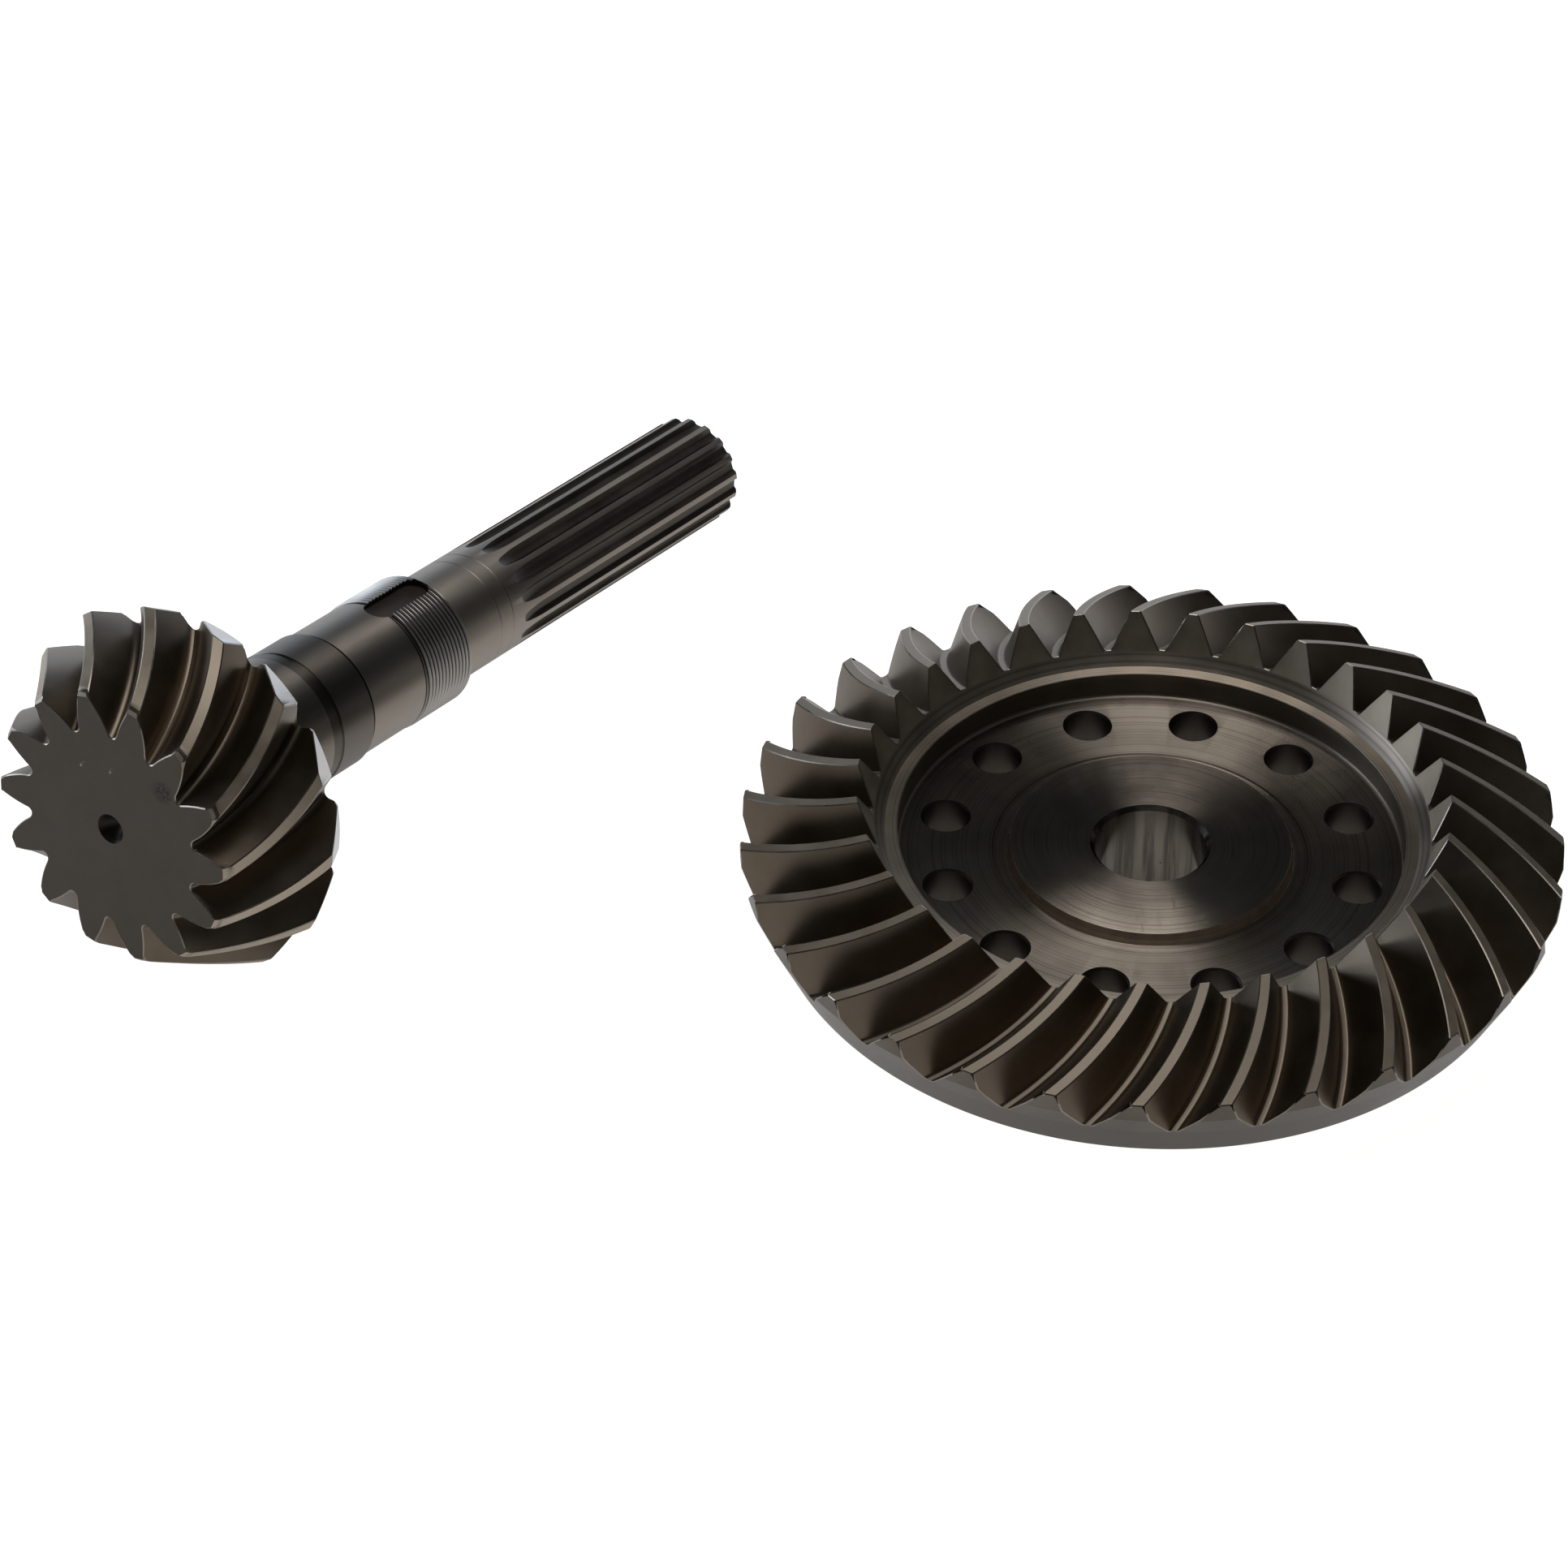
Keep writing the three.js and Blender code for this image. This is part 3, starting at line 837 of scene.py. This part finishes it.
def thread_rows(angles):
    """A single-start helix with a flat-topped V, fading in and out at its ends."""
    rows = []
    steps = 10  # rows of points in each pitch
    turns = (THREAD_END - THREAD_START) / THREAD_PITCH
    for index in range(int(turns * steps) + 1):
        level = THREAD_START + index * THREAD_PITCH / steps
        phase = (level / THREAD_PITCH - angles / (2 * math.pi)) % 1.0
        ridge = 1 - np.abs(2 * phase - 1)
        ridge = np.clip(ridge * 1.35 - 0.15, 0, 1)
        fade = min(1, (level - THREAD_START + 0.2) / 1.5, (THREAD_END - level + 0.4) / 1.0)
        crest = THREAD_ROOT + (THREAD_CREST - THREAD_ROOT) * fade
        rows.append(circle(THREAD_ROOT + (crest - THREAD_ROOT) * ridge, level, angles))
    return rows


def pinion_rows():
    teeth = Teeth(
        count=PINION_TEETH,
        toe=PINION_TOE,
        cone=PINION_CONE,
        down=1,
        addendum=8.7,
        dedendum=8.05,
        taper=0.045,
        lands=(3.6, 5.6),
        bulge=0.35,
        phase=PINION_PHASE,
    )
    toe_edge = [(40, 0), *TOE_CHAMFER]
    heel_edge = [(60, HEEL_FACET[1][1]), HEEL_FACET[1], HEEL_FACET[0]]
    rows = ToothRows(teeth, toe_edge, heel_edge, fillet=1.9, flank_steps=7)
    foot = -FOOT_DROP / teeth.depth
    toe_foot = rows.end(toe_edge, foot, EDGE_BREAK)
    angles = np.arctan2(toe_foot[:, 1], toe_foot[:, 0])
    made = [circle(CENTRE_RADIUS - 1.5, 1.8, angles), circle(CENTRE_RADIUS, 0, angles), toe_foot]
    kinds = ["hole", "face", "face"]
    for limit in (teeth.height_of(TOE_CHAMFER[0]), NO_LIMIT):
        made.append(rows.end(toe_edge, limit, EDGE_BREAK))
        kinds.append("land" if limit < 1 else "edge")
    for share in np.linspace(0, 1, FACE_STEPS + 1):
        made.append(rows.face(share))
        kinds.append("teeth")
    kinds[-1] = "edge"
    made.append(rows.end(heel_edge, NO_LIMIT, EDGE_BREAK))
    kinds.append("facet")
    made.append(rows.end(heel_edge, teeth.height_of(HEEL_FACET[1]), EDGE_BREAK))
    kinds.append("back")
    made.append(rows.end(heel_edge, foot, EDGE_BREAK))
    kinds.append("back")
    even = angles[0] + np.linspace(0, 2 * math.pi, len(angles), endpoint=False)
    for radius, level, kind in shaft_outline():
        made.append(circle(radius, level, even))
        kinds.append(kind)
    for row in thread_rows(even):
        made.append(row)
        kinds.append("thread")
    for radius, level, kind in tail_outline():
        made.append(circle(radius, level, even))
        kinds.append(kind)
    return made, kinds, rows.column_kinds()


def keyway_mill(material):
    """A cutter with round ends, standing on the keyway's floor."""
    half = KEYWAY_WIDTH / 2
    steps = 24
    outline = []
    for end, side in ((KEYWAY_SPAN[0] + half, 1), (KEYWAY_SPAN[1] - half, -1)):
        for angle in np.linspace(math.pi / 2, math.pi * 3 / 2, steps + 1):
            along = end + side * half * math.cos(angle)
            outline.append((along, side * half * math.sin(angle)))
    floor = [(KEYWAY_FLOOR, y, s) for s, y in outline]
    top = [(KEYWAY_FLOOR + half, y, s) for s, y in outline]
    middle = sum(KEYWAY_SPAN) / 2
    caps = [(KEYWAY_FLOOR, 0, middle), (KEYWAY_FLOOR + half, 0, middle)]
    mill = object_from(
        [np.array(floor), np.array(top)], ["cut", "cut"], ["cut"] * len(floor),
        {"cut": material}, "keyway_mill", caps,
    )
    mill.data.transform(Matrix.Rotation(KEYWAY_ANGLE, 4, "Z"))
    return mill


def punch_mark(spot, turn, material, name):
    """A shallow chisel mark in the small end face."""
    mark = lathe(name, [(0, -1), (1, 0), (0, 1)], material, 12)
    place = Matrix.Translation(Vector((*spot, 0)) * MM) @ Matrix.Rotation(turn, 4, "Z")
    mark.data.transform(place @ Matrix.Diagonal((*PUNCH_SIZE, 1)))
    return mark


def spline_mill(angle, material, name):
    """One groove between splines: it climbs out of the shaft along the mill's arc."""
    floor = TAIL - SPLINE_DEPTH
    full = SPLINE_START + math.sqrt(2 * SPLINE_CUTTER * SPLINE_DEPTH)
    steps = 16
    stations = [(LENGTH + 5, 0.0)]
    for step in range(steps + 1):
        back = step / steps * (full - SPLINE_START + 1.5)
        climb = SPLINE_CUTTER - math.sqrt(SPLINE_CUTTER**2 - back**2)
        stations.append((full - back, climb))
    rows = []
    for level, climb in stations:
        side = [(floor + climb + rise, half) for rise, half in SPLINE_GROOVE]
        ring = [(out, -half) for out, half in side] + [(out, half) for out, half in side[::-1]]
        rows.append(np.array([(out, across, level) for out, across in ring]))
    caps = [rows[0].mean(axis=0), rows[-1].mean(axis=0)]
    mill = object_from(
        rows, ["cut"] * len(rows), ["cut"] * len(rows[0]), {"cut": material}, name, caps
    )
    mill.data.transform(Matrix.Rotation(angle, 4, "Z"))
    return mill


def make_pinion():
    materials = {
        "face": matt_shaded_face("pinion_shaded_end_face"),
        "flank": flank_steel("pinion_flanks"),
        "edge": edge_steel("pinion_edges"),
        "land": land_steel("pinion_lands", 1.7),
        "facet": heel_highlight_steel("pinion_heel_highlight"),
        "back": turned_steel("pinion_back_face", (0.32, 0.40), 0.7),
        "ground": ground_steel("pinion_journal", (0.32, 0.42), 0.75),
        # The groove, collar, seat and tail are darker and lighter copies of the journal's ground
        # steel: painted shade and painted light along the shaft.
        "groove": ground_steel("pinion_groove_shaded", shade=0.45),
        "collar": ground_steel("pinion_collar_shaded", (0.32, 0.42), 0.75, shade=0.65),
        "seat": ground_steel("pinion_seat_lit", (0.32, 0.42), 0.75, pit_level=1.12, shade=1.2),
        "thread": thread_steel("pinion_thread"),
        "tail": ground_steel("pinion_tail_lit", (0.36, 0.46), 0.55, shade=1.35),
        "cut": flute_steel("pinion_milled"),
        # The centre holes and the relief under the collar take this very dark copy: painted shade
        # inside them.
        "hole": flute_steel("pinion_hole_shade", 0.35),
    }
    rows, kinds, columns = pinion_rows()
    caps = [(0, 0, CENTRE_DEPTH), (0, 0, LENGTH - CENTRE_DEPTH)]
    pinion = object_from(rows, kinds, columns, materials, "pinion_with_shaft", caps)
    cut(pinion, keyway_mill(materials["cut"]))
    marks = [
        punch_mark(spot, math.radians(turn), materials["edge"], f"mark_{index}")
        for index, (spot, turn) in enumerate(PUNCH_MARKS)
    ]
    cut(pinion, merge_cutters("marks", marks))
    pitch = 2 * math.pi / SPLINE_COUNT
    mills = []
    for groove in range(SPLINE_COUNT):
        angle = SPLINE_LAND_ANGLE + pitch * (groove + 0.5)
        mills.append(spline_mill(angle, materials["cut"], f"spline_mill_{groove}"))
    cut(pinion, merge_cutters("spline_mills", mills))
    smooth(pinion)
    return pinion


# ---------------------------------------------------------------------- placing


def axis_frame(joint):
    """The pinion's own frame: Z along its axis, X level."""
    axis = Vector(joint["axis"]).normalized()
    across = Vector((0, 0, 1)).cross(axis).normalized()
    over = axis.cross(across)
    turn = Matrix((across, over, axis)).transposed().to_4x4()
    return Matrix.Translation(joint["pos_m"]) @ turn


def wheel_centre():
    """The middle of the wheel's hub, which is 50 mm from a mount on that face."""
    mounts = {mount["name"]: mount for mount in frame["record"]["mounts"]}
    return Vector(mounts["wheel_hub_face"]["pos_m"]) - Vector((0.05, 0, 0))


CENTRE = wheel_centre()

# ----------------------------------------------------------------- camera, light

CAMERA_ELEVATION = math.radians(38.693)
CAMERA_ROLL = math.radians(0.236)
CAMERA_LENS = 119.33
CAMERA_FROM_WHEEL = Vector((-0.17403, -1.90811, 1.61129))
FLOOR_HALF = 3.0
FLOOR_GLOW = 0.45
SEEN_FLOOR_GLOW = 0.95


def make_camera():
    data = bpy.data.cameras.new("camera")
    data.lens = CAMERA_LENS
    data.sensor_width = 36
    data.clip_end = 50
    camera = bpy.data.objects.new("camera", data)
    bpy.context.scene.collection.objects.link(camera)
    level = Vector((1, 0, 0))
    under = Vector((0, -math.sin(CAMERA_ELEVATION), -math.cos(CAMERA_ELEVATION)))
    right = level * math.cos(CAMERA_ROLL) - under * math.sin(CAMERA_ROLL)
    down = level * math.sin(CAMERA_ROLL) + under * math.cos(CAMERA_ROLL)
    forward = Vector((0, math.cos(CAMERA_ELEVATION), -math.sin(CAMERA_ELEVATION)))
    turn = Matrix((right, -down, -forward)).transposed().to_4x4()
    camera.matrix_world = Matrix.Translation(CENTRE + CAMERA_FROM_WHEEL) @ turn
    bpy.context.scene.camera = camera


def make_floor():
    """A white sheet, lit so that the camera sees almost no shadow on it."""
    mesh = bpy.data.meshes.new("floor")
    half = FLOOR_HALF
    corners = [(-half, -half, 0), (half, -half, 0), (half, half, 0), (-half, half, 0)]
    mesh.from_pydata(corners, [], [(0, 1, 2, 3)])
    floor = bpy.data.objects.new("floor", mesh)
    bpy.context.scene.collection.objects.link(floor)
    nodes = Nodes("pale_floor")
    nodes.shader.inputs["Base Color"].default_value = (0.9, 0.9, 0.91, 1)
    nodes.shader.inputs["Roughness"].default_value = 0.9
    nodes.shader.inputs["Specular IOR Level"].default_value = 0.0
    nodes.shader.inputs["Emission Color"].default_value = (1, 1, 1, 1)
    path = nodes.add("ShaderNodeLightPath")
    glow = nodes.spread(path.outputs["Is Camera Ray"], 0, 1, FLOOR_GLOW, SEEN_FLOOR_GLOW)
    nodes.link(glow, nodes.shader.inputs["Emission Strength"])
    mesh.materials.append(nodes.material)
    return floor


def area_light(name, spot, target, size, power, colour=(1, 1, 1)):
    data = bpy.data.lights.new(name, "AREA")
    data.shape = "RECTANGLE"
    data.size, data.size_y = size
    data.energy = power
    data.color = colour
    light = bpy.data.objects.new(name, data)
    bpy.context.scene.collection.objects.link(light)
    light.location = spot
    way = Vector(target) - Vector(spot)
    light.rotation_euler = way.to_track_quat("-Z", "Y").to_euler()
    light.visible_camera = False
    return light


def make_light():
    world = bpy.data.worlds.new("studio")
    world.use_nodes = True
    tree = world.node_tree
    room = tree.nodes["Background"]
    room.inputs["Color"].default_value = (0.9, 0.95, 1.0, 1)
    room.inputs["Strength"].default_value = 0.04
    backdrop = tree.nodes.new("ShaderNodeBackground")
    backdrop.inputs["Color"].default_value = (1, 1, 1, 1)
    path = tree.nodes.new("ShaderNodeLightPath")
    mix = tree.nodes.new("ShaderNodeMixShader")
    tree.links.new(path.outputs["Is Camera Ray"], mix.inputs["Fac"])
    tree.links.new(room.outputs[0], mix.inputs[1])
    tree.links.new(backdrop.outputs[0], mix.inputs[2])
    tree.links.new(mix.outputs[0], tree.nodes["World Output"].inputs["Surface"])
    bpy.context.scene.world = world
    cool = (0.74, 0.85, 1.0)
    area_light(
        "overhead", spot=(0.05, 0.45, 2.2), target=(0.05, 0.1, 0), size=(1.0, 1.7), power=18
    )
    area_light(
        "back", spot=(0, 3.6, 0.5), target=(0, 0, 0.2), size=(5.0, 0.9), power=25, colour=cool
    )
    area_light(
        "left", spot=(-3.0, 0.4, 0.5), target=(-0.3, 0, 0), size=(3.0, 0.7), power=40, colour=cool
    )
    bpy.context.scene.view_settings.view_transform = "Standard"


# ------------------------------------------------------------------------ build

make_camera()
make_floor()
make_light()

wheel = make_wheel()
wheel.matrix_world = Matrix.Translation(CENTRE)
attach(wheel, "ring_gear")
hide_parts("ring_gear")

pinion = make_pinion()
pinion.matrix_world = axis_frame(frame["joints"][0])
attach(pinion, "pinion_shaft")
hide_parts("pinion_shaft")
